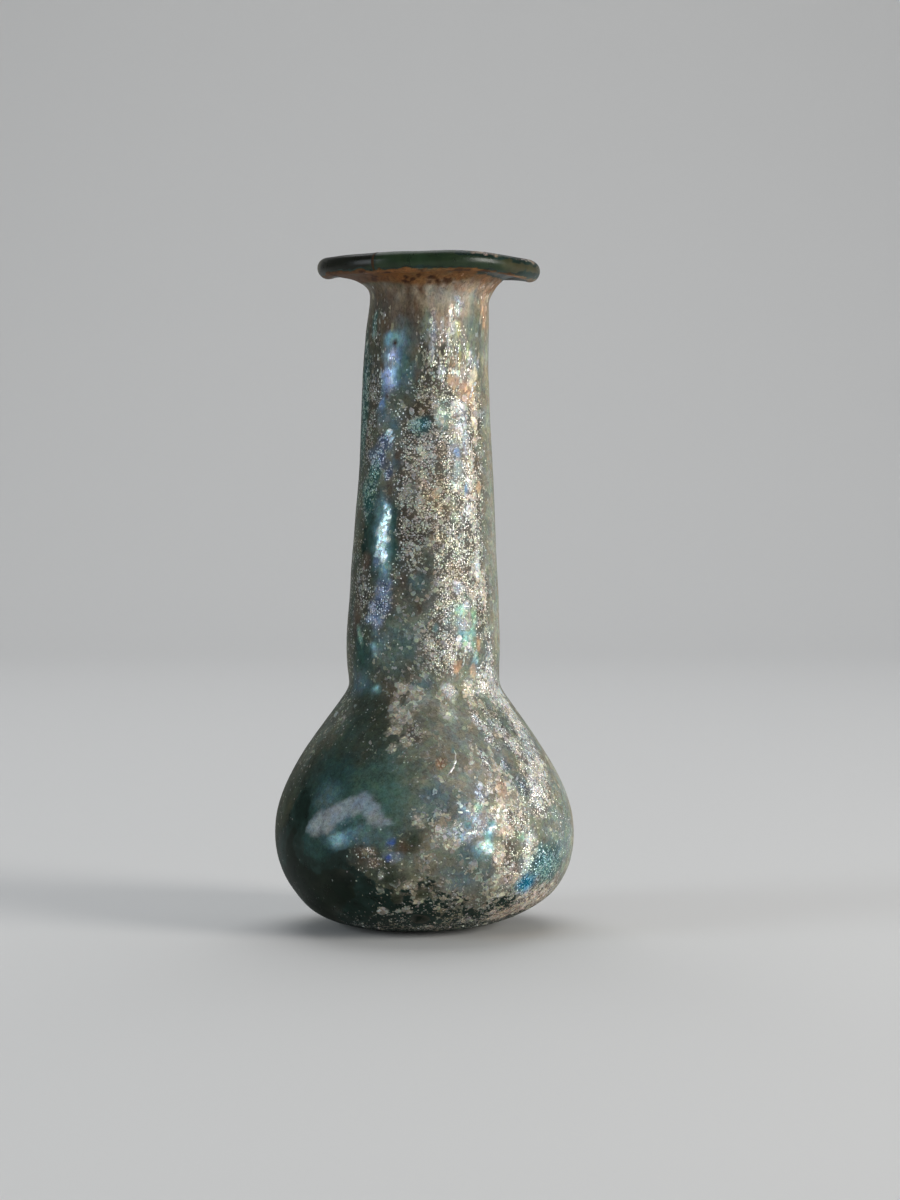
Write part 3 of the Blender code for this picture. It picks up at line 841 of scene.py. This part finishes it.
# Sizes in mm of the noises and random cells that make up the crust, from broad to fine.
BROAD = 5.0
MIDDLING = 1.8
CHIP_SIZE = 1.5
WARP_SIZE = 0.9
FINE = 0.7
FLAKE_SIZE = 0.6
GRAIN_SIZE = 0.33
SPECK = 0.26


def weathered_glass():
    """Bare glass, and over it the film, flakes and grains that the stored layers place."""
    tree = Tree("weathered_glass")
    x, y, z = tree.others(tree.add("ShaderNodeSeparateXYZ", {}, {"Vector": tree.place()}), *"XYZ")
    above = z - STREAKS_FROM
    drawn_out = z - above.at_least(0.0) * DRAWN_OUT
    place = tree.add("ShaderNodeCombineXYZ", {}, {"X": x, "Y": y, "Z": drawn_out})
    tint = tree.stored("tint", "Color")
    cover, shine, grain, flakes = (tree.stored(name) for name in AMOUNTS)

    broad, middling, fine = (tree.noise(place, size) for size in (BROAD, MIDDLING, FINE))
    speck = tree.noise(place, SPECK, 2.0, 0.7)
    warp = tree.noise(place, WARP_SIZE, 2.0, 0.5, "Color")
    warped = tree.vector("ADD", place, tree.centred(warp, 1.1 * MM))
    chip = tree.cells(warped, CHIP_SIZE)
    flake = tree.cells(warped, FLAKE_SIZE)
    grains = tree.cells(place, GRAIN_SIZE)
    chip_first, chip_second, chip_third = tree.channels(chip)
    flake_first, flake_second, flake_third = tree.channels(flake)
    grain_first, grain_second, grain_third = tree.channels(grains)
    grain_middle, grain_top = tree.others(grains, "Distance", "Position")
    grain_dome = tree.vector("SUBTRACT", place, grain_top)

    # Grains: pale, or in the layer's own colour, each tilted its own way.
    clump = tree.step(middling * 0.65 + broad * 0.35, 0.40, 0.58)
    density = grain * (0.40 + clump + (fine - 0.5) * 1.6)
    present = tree.step(density - grain_first, 0.0, 0.06)
    bright = present * tree.step(grain_middle, 0.62, 0.50)
    grain_colour = tree.blend(0.6, tree.ramp(grain_third, PALE_GRAINS), tree.scaled(tint, 2.2))
    iridescent = tree.step(grain_second, 0.45, 0.60) * 0.65
    grain_colour = tree.glaze(iridescent, grain_colour, tree.ramp(grain_third, FILM_TINTS), 1.0)

    # Where the crust lies: whole flakes of it are missing, and its edges are ragged.
    breaks = (chip_first - 0.5) * 0.40 + (flake_first - 0.5) * 0.42 + (fine - 0.5) * 0.60
    breaks = breaks * (0.22 + flakes * 1.1)
    covered = tree.step(cover + breaks, 0.40, 0.56).at_least(bright)

    # The film's colour: mottled, with dirt in its pits and a pale iridescence, and painted shade round and
    # between the grains.
    light = 0.5 + speck + (fine - 0.5) * 1.2 + (middling - 0.5) * 0.8 + (broad - 0.5) * 0.8
    light = light + (flake_second - 0.5) * 0.5 * flakes
    base = tree.scaled(tint, light.at_least(0.25))
    film_tint = tree.ramp(middling * 1.3 + chip_first * 0.5 - 0.40, FILM_TINTS)
    grain_colour = tree.glaze(0.30, grain_colour, film_tint)
    base = tree.glaze(0.16 + shine * 0.8, base, film_tint)
    pits = tree.step(speck, 0.44, 0.30) * (0.20 + flakes * 0.5)
    base = tree.blend(pits, base, DIRT)
    # Painted shade: darker round the edges of the grains and where none lie, in grainy places.
    shade_between_grains = tree.step(grain_middle, 0.40, 0.66).at_least(1 - present) * 0.75 * tree.step(grain, 0.2, 0.8)
    base = tree.blend(shade_between_grains, base, tree.scaled(tint, 0.28))

    # Pale flakes lie on it with crisp edges, large ones and small ones, each its own colour.
    share = flakes * (0.9 + (middling - 0.5) * 1.6) + (fine - 0.5) * 0.25 * flakes
    large = tree.step(share - chip_third, 0.0, 0.03)
    small = tree.step(share - flake_third, 0.0, 0.03)
    flaked = (large * tree.step(flake_third, 0.9, 0.7)).at_least(small)
    flake_light = chip_second * 0.5 + flake_second * 0.8 + speck - 0.05
    flake_colour = tree.blend(0.30, tree.scaled(tint, 1.4), FLAKE_COLOUR)
    flake_colour = tree.scaled(flake_colour, flake_light)
    flake_tint = tree.ramp(flake_first * 0.7 + chip_first * 0.3, FILM_TINTS)
    base = tree.blend(flaked, base, tree.glaze(0.55, flake_colour, flake_tint))

    colour = tree.blend(bright, base, grain_colour)
    metallic = shine * 0.7 * (1 - bright) + bright * 0.80
    roughness = (0.58 - shine * 0.26 - flaked * flake_second * 0.1) * (1 - bright)
    roughness = roughness + bright * (0.24 + grain_second * 0.22)

    relief = fine * 0.4 + speck * 0.2 + flaked * 0.5 + bright * 0.25
    tilt = tree.vector("ADD", tree.centred(chip, 0.14), tree.centred(flake, 0.30))
    normal = tree.direction(
        tree.bump(relief, 0.4, 0.15),
        tree.scaled(tilt, 0.2 + flaked * 0.8),
        tree.centred(grains, bright * 0.60),
        tree.scaled(grain_dome, bright * (0.9 / GRAIN_SIZE / MM)),
    )
    crust = tree.shader(
        {
            "Base Color": colour,
            "Metallic": metallic,
            "Roughness": roughness,
            "Specular IOR Level": 0.1,
            "Normal": normal,
        }
    )

    # The glass itself.
    deep = tree.ramp(broad * 0.5 + middling * 0.5, DEEP_GLASS)
    own_glass = tree.scaled(tint, 0.30 + middling * 0.9 + broad * 0.6)
    glass_colour = tree.blend(tree.step(cover, 0.15, 0.105), deep, own_glass)
    unevenness = broad * 0.6 + middling * 0.3 + fine * 0.08
    glass = tree.shader(
        {
            "Base Color": glass_colour,
            "Roughness": 0.18 + middling * 0.26,
            "IOR": 1.50,
            "Specular IOR Level": 0.0,
            "Transmission Weight": 0.3,
            "Coat Weight": shine,
            "Coat Roughness": 0.25,
            "Normal": tree.bump(unevenness, 0.25, 0.4),
        }
    )
    return tree.finish(tree.add("ShaderNodeMixShader", {}, {0: covered, 1: glass, 2: crust}))


# ---- The vessel's surface

INSIDE = Layer((0.075, 0.075, 0.055), 0.80, 0.1, 0.10, 0.1)
# In mm: where soil sets in under the rim, outwards and upwards, where it ends on the bead, and how
# much lower it ends on the right.
SOIL_RADII = (10.8, 11.6)
SOIL_HEIGHTS = (111.4, 115.2)
BARE_BEAD = (116.2, 116.55)
BARE_DROOP = 0.9
# In mm: how far the crust stands above the glass, and how uneven both are.
CRUST_THICKNESS = 0.06
ROUGHNESS = 0.05
ROUGHNESS_SIZE = 1.1
WAVES = 0.09
WAVE_SIZE = 15.0
LEVEL_FOOT = 1.2


def weather(vessel):
    """Stores what lies at each point, and raises the crust a little above the glass."""
    mesh = vessel.data
    points = get_points(mesh)
    outside = ramp(read(mesh.attributes["outside"].data, "value", 1)[:, 0], 0.4, 0.6)
    surface = Surface(points)
    surface.lay_all()

    # Soil packs the underside of the rim as far as the bead.
    to_right = np.sin(np.radians(surface.turn))
    runs = 1.2 * surface.rises[0] + 1.1 * surface.rises[1] + 0.6 * surface.slides[2]
    runs -= 0.8 * to_right
    under_rim = ramp(surface.radius, *SOIL_RADII) * ramp(surface.height + runs, *SOIL_HEIGHTS)
    level = surface.height + BARE_DROOP * ramp(to_right, DROOP_FROM, 1.0)
    under_rim *= 1 - ramp(level - 0.25 * surface.rises[1] - 0.1 * surface.rises[2], *BARE_BEAD)
    surface.lay(SOIL, under_rim)
    # Painted shade: the soil under the rim darker on the left, the side away from the brighter lamp.
    painted_shade_left = ramp(surface.turn, -10, -50) * ramp(surface.turn, -140, -100)
    pale_right = ramp(surface.turn, 30, 70) * ramp(surface.turn, 130, 90)
    surface.lay(DARK_SOIL, under_rim * 0.62 * painted_shade_left)
    surface.lay(PEACH, under_rim * 0.35 * pale_right)
    surface.lay(DARK_SOIL, under_rim * ramp(surface.slides[1] + 0.5 * surface.slides[2], 0.2, 0.7))
    surface.vary()
    surface.lay(INSIDE, 1 - outside)

    for name, values in zip(AMOUNTS, surface.amounts.T):
        store_amount(mesh, name, values)
    store_tint(mesh, surface.colour)

    cover, _, grain, flakes = surface.amounts.T
    crusted = ramp(cover, 0.35, 0.75)
    rough = ROUGHNESS * mottle(points, ROUGHNESS_SIZE, 5) * (0.2 + 0.5 * flakes + 0.5 * grain)
    uneven = WAVES * mottle(points, WAVE_SIZE, 6)  # the glass's own, inside as well as outside
    lift = crusted * (CRUST_THICKNESS + rough) * outside + uneven
    lift *= ramp(surface.height, 0.0, LEVEL_FOOT)
    set_points(mesh, points + read(mesh.vertex_normals, "vector").astype(float) * (lift * MM)[:, None])


# ---- Loose flakes and lips of crust

CHIP_SIDES = 7
CHIPS = 520
TRIES = 8000  # spots that the chips' own are chosen from
CHIP_LENGTHS = (0.22, 1.05)  # half of it in mm, mostly near the least
CHIP_WIDTHS = (0.5, 0.9)  # as a share of their length
CHIP_THICKNESS = (0.04, 0.09)  # mm, at their thin end
CHIP_RISE = 0.09  # mm, the most that they thicken in half their length
CHIP_LIGHT = (0.9, 1.9)  # times the colour under them
CHIP_HEIGHTS = (1.5, 103.0)  # where they lie, in mm
SUNK = 0.03  # mm, how far they and the lips reach into the wall
LIP_HEIGHT = 0.16  # mm
# Raised edges of crust: (height mm, turn deg, heading deg, half length mm, half width mm, bend)
LIPS = (
    (30.9, 14.2, 68, 2.6, 0.14, 0.1),
    (24.6, 57, 100, 1.6, 0.14, -0.06),
    (100.8, 44, 60, 1.2, 0.16, 0.1),
    (95.6, 47, 70, 1.6, 0.16, 0.1),
    (84, 44.6, 88, 3, 0.14, 0.01),
    (104.5, 22, 88, 1.6, 0.12, 0),
    (108.6, 26.4, 86, 1.2, 0.1, 0),
    (63.5, 40, 75, 1.4, 0.14, 0.1),
    (56, 36.5, 95, 2, 0.12, -0.06),
    (48, 31, 80, 1, 0.14, 0.1),
    (42.6, 46, 10, 1.4, 0.18, 0.1),
)
LIP_COLOUR = (0.76, 0.74, 0.67)
OUTSIDE_LINE = np.array(sorted((z / MM, r / MM) for r, z in outer_rings()[5:-10])).T


def model_chip():
    """A chip of crust, 2 across and 1 thick, its upper edge worn."""
    bpy.ops.object.select_all(action="DESELECT")
    bpy.ops.mesh.primitive_circle_add(vertices=CHIP_SIDES, radius=1, fill_type="NGON")
    chip = bpy.context.object
    edit_all("FACE")
    extrude(0, 0.75)
    extrude(0, 0.25)
    bpy.ops.transform.resize(value=(0.88, 0.88, 1), center_override=(0, 0, 1))
    bpy.ops.mesh.inset(thickness=0.4)
    close_edit()
    return chip


def model_lip():
    """A raised edge of crust, 2 long, 2 wide and 1 high, thinning out towards its ends."""
    bpy.ops.object.select_all(action="DESELECT")
    bpy.ops.mesh.primitive_grid_add(x_subdivisions=14, y_subdivisions=2, size=2)
    lip = bpy.context.object
    edit_all("FACE")
    extrude(0, 1)
    close_edit()
    x, y, z = get_points(lip.data).T
    narrow = np.sqrt(np.maximum(1 - x * x, 0.02)) * (0.9 + 0.25 * np.sin(x * 9))
    z *= (1 - 0.7 * np.abs(y)) * (0.3 + 0.7 * narrow)
    set_points(lip.data, np.stack([x, y * narrow, z], axis=1))
    return lip


def lay_on_wall(pattern, wall, spot, heading, shape, colour):
    """Copies a flat pattern in mm onto the wall near this spot, bent to it, and tints the copy."""
    centre, normal, _, _ = wall.find_nearest(spot)
    level = Vector((0, 0, 1)).cross(normal).normalized()
    rise = normal.cross(level)
    along = level * math.cos(heading) + rise * math.sin(heading)
    across = normal.cross(along)
    copy = pattern.copy()
    copy.data = pattern.data.copy()
    bpy.context.scene.collection.objects.link(copy)
    placed = []
    for x, y, z in (shape * MM).tolist():
        foot, upright, _, _ = wall.find_nearest(centre + along * x + across * y)
        placed.append(foot + upright * z)
    set_points(copy.data, np.array(placed))
    store_tint(copy.data, np.tile(colour, (len(placed), 1)))
    return copy


def choose_spots(random):
    """Spots on the outside for the chips, most where the crust flakes, and the colours there."""
    level = random.uniform(0, len(OUTSIDE_LINE[0]) - 1, TRIES)
    height, radius = (np.interp(level, range(len(line)), line) for line in OUTSIDE_LINE)
    turn = random.uniform(-math.pi, math.pi, TRIES)
    turned = np.stack([radius * np.sin(turn), -radius * np.cos(turn), height], axis=1)
    spots = as_blown(turned * MM)
    there = Surface(spots)
    there.lay_all()
    there.vary()
    cover, _, _, flakes = there.amounts.T
    low, high = CHIP_HEIGHTS
    chance = (flakes - 0.06).clip(0, 1) ** 1.2 * (0.3 + cover)
    chance *= (height > low) * (height < high)
    chosen = random.choice(TRIES, CHIPS, replace=False, p=chance / chance.sum())
    return spots[chosen], there.colour[chosen]


def lay_loose_crust(vessel):
    """Lays chips where the crust flakes most, and lips where it has lifted, as one piece."""
    random = np.random.default_rng(7)
    faces = [tuple(polygon.vertices) for polygon in vessel.data.polygons]
    wall = BVHTree.FromPolygons(get_points(vessel.data).tolist(), faces)
    short, long = CHIP_LENGTHS
    chip, lip = model_chip(), model_lip()
    chip_x, chip_y, chip_z = get_points(chip.data).T
    side = np.round(np.arctan2(chip_y, chip_x) * CHIP_SIDES / (2 * math.pi)).astype(int)
    copies = []
    for spot, under in zip(*choose_spots(random)):
        half = short + (long - short) * random.random() ** 2.5
        outline = random.uniform(0.45, 1.0, CHIP_SIDES)[side % CHIP_SIDES]
        x = chip_x * outline * half
        y = chip_y * outline * half * random.uniform(*CHIP_WIDTHS)
        thick = random.uniform(*CHIP_THICKNESS) + random.uniform(0.0, CHIP_RISE) * (x / half + 1)
        shape = np.stack([x, y, chip_z * (thick + SUNK) - SUNK], axis=1)
        pale = random.uniform(*CHIP_LIGHT)
        colour = (under * pale * 0.7 + 0.13 * pale).clip(0, 0.8)
        heading = random.uniform(0, 2 * math.pi)
        copies.append(lay_on_wall(chip, wall, Vector(spot), heading, shape, colour))
    lip_x, lip_y, lip_z = get_points(lip.data).T
    for height, turn, heading, length, width, bend in LIPS:
        x = lip_x * length
        y = lip_y * width * 1.5 + 0.05 * np.sin(x * 5 + turn)
        shape = np.stack([x, y + bend * x * x, lip_z * LIP_HEIGHT - SUNK], axis=1)
        radius = np.interp(height, *OUTSIDE_LINE)
        turn = math.radians(turn)
        spot = Vector((radius * math.sin(turn), -radius * math.cos(turn), height)) * MM
        copies.append(lay_on_wall(lip, wall, spot, math.radians(heading), shape, LIP_COLOUR))
    for pattern in (chip, lip):
        bpy.data.objects.remove(pattern)
    only(copies[0])
    for copy in copies:
        copy.select_set(True)
    bpy.ops.object.join()
    crust = bpy.context.object
    crust.name = crust.data.name = "loose_crust"
    return crust


def loose_crust():
    """Pale, glinting crust, each chip in its own tint."""
    tree = Tree("loose_crust")
    place = tree.place()
    tint = tree.stored("tint", "Color")
    fine = tree.noise(place, FINE)
    speck = tree.noise(place, SPECK, 2.0, 0.7)
    patch = tree.cells(place, FLAKE_SIZE)
    patch_first = tree.channels(patch)[0]
    light = (speck - 0.5) * 1.2 + fine + 0.45
    film = tree.ramp(patch_first * 0.5 + fine * 0.7 - 0.1, FILM_TINTS)
    base = tree.glaze(0.5, tree.scaled(tint, light), film, 1.25)
    base = tree.blend(tree.step(speck, 0.42, 0.30) * 0.5, base, PALE_DIRT)
    normal = tree.direction(tree.bump(speck + fine, 0.4, 0.1), tree.centred(patch, 0.25))
    values = {"Base Color": base, "Metallic": 0.25, "Roughness": 0.38, "Normal": normal}
    return tree.finish(tree.shader(values))


# ---- Stage, lights and camera

FLOOR_COLOUR = (0.70, 0.70, 0.69)
FLOOR_WIDTH = 3.2
FLOOR_GAP = 0.1 * MM  # below the vessel's foot
FLOOR_FRONT = -1.2
WALL_FROM = 0.9
WALL_BEND = 0.5
WALL_TOP = 1.8
EYE_HEIGHT = 76.4 * MM
EYE_DISTANCE = 520.8 * MM
EYE_TO_RIGHT = 4.58 * MM
EYE_PITCH = math.radians(1.975)  # downwards
LENS = 87.0
WINDOWS = (  # name, turn and rise in degrees, distance and size in metres, watts, colour
    ("right_window", 62, 10, 0.9, (0.34, 0.60), 7.9, (1.0, 0.97, 0.93)),
    ("left_window", -68, 12, 1.0, (0.42, 0.66), 3.6, (0.86, 0.94, 1.0)),
    ("ceiling", 180, 62, 1.3, (1.2, 1.2), 9.0, (0.97, 0.98, 1.0)),
)
AMBIENT_COLOUR = (0.66, 0.68, 0.72)
AMBIENT_STRENGTH = 0.22


def pale_sheet():
    tree = Tree("pale_sheet")
    values = {"Base Color": (*FLOOR_COLOUR, 1.0), "Roughness": 0.75}
    return tree.finish(tree.shader(values))


def make_stage():
    """A pale sheet that runs back under the vessel and curves up behind it."""
    bpy.ops.object.select_all(action="DESELECT")
    bpy.ops.mesh.primitive_plane_add(size=1)
    sheet = bpy.context.object
    sheet.name = "floor"
    edit_all("VERT")
    bpy.ops.transform.resize(value=(FLOOR_WIDTH, WALL_FROM - FLOOR_FRONT, 1))
    bpy.ops.transform.translate(value=(0, (WALL_FROM + FLOOR_FRONT) / 2, -FLOOR_GAP))
    bpy.ops.mesh.select_all(action="DESELECT")
    bpy.ops.object.mode_set(mode="OBJECT")
    for vertex in sheet.data.vertices:
        vertex.select = vertex.co.y > 0
    bpy.ops.object.mode_set(mode="EDIT")
    bends = [QUARTER * i / 12 for i in range(13)]
    line = [(WALL_FROM + WALL_BEND * math.sin(a), WALL_BEND * (1 - math.cos(a))) for a in bends]
    line.append((WALL_FROM + WALL_BEND, WALL_TOP))
    for (y, z), (next_y, next_z) in zip(line, line[1:]):
        extrude(next_y - y, next_z - z)
    bpy.ops.object.mode_set(mode="OBJECT")
    bpy.ops.object.shade_smooth()
    sheet.data.materials.append(pale_sheet())


def add_window(name, turn, rise, distance, size, power, colour):
    """A soft light, placed like a place on the vessel: by its turn, with its rise in degrees."""
    aim = Vector((0, 0, 60 * MM))
    turn, rise = math.radians(turn), math.radians(rise)
    away = Vector((math.sin(turn) * math.cos(rise), -math.cos(turn) * math.cos(rise), math.sin(rise)))
    light = bpy.data.lights.new(name, "AREA")
    light.shape = "RECTANGLE"
    light.size, light.size_y = size
    light.energy = power
    light.color = colour
    holder = bpy.data.objects.new(name, light)
    holder.location = aim + away * distance
    holder.rotation_euler = (-away).to_track_quat("-Z", "Y").to_euler()
    bpy.context.scene.collection.objects.link(holder)


def make_lights():
    for window in WINDOWS:
        add_window(*window)
    world = bpy.data.worlds.new("room")
    world.use_nodes = True
    background = world.node_tree.nodes["Background"]
    background.inputs["Color"].default_value = (*AMBIENT_COLOUR, 1.0)
    background.inputs["Strength"].default_value = AMBIENT_STRENGTH
    bpy.context.scene.world = world


def make_camera():
    camera = bpy.data.cameras.new("camera")
    camera.lens = LENS
    camera.clip_start = 0.01
    holder = bpy.data.objects.new("camera", camera)
    holder.location = (EYE_TO_RIGHT, -EYE_DISTANCE, EYE_HEIGHT)
    holder.rotation_euler = (QUARTER - EYE_PITCH, 0, 0)
    bpy.context.scene.collection.objects.link(holder)
    bpy.context.scene.camera = holder


vessel = blow_vessel()
weather(vessel)
vessel.data.materials.append(weathered_glass())
crust = lay_loose_crust(vessel)
crust.data.materials.append(loose_crust())
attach(crust, "root")
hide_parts(VESSEL)
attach(vessel, "root")
make_stage()
make_lights()
make_camera()
bpy.context.scene.view_settings.view_transform = "Standard"
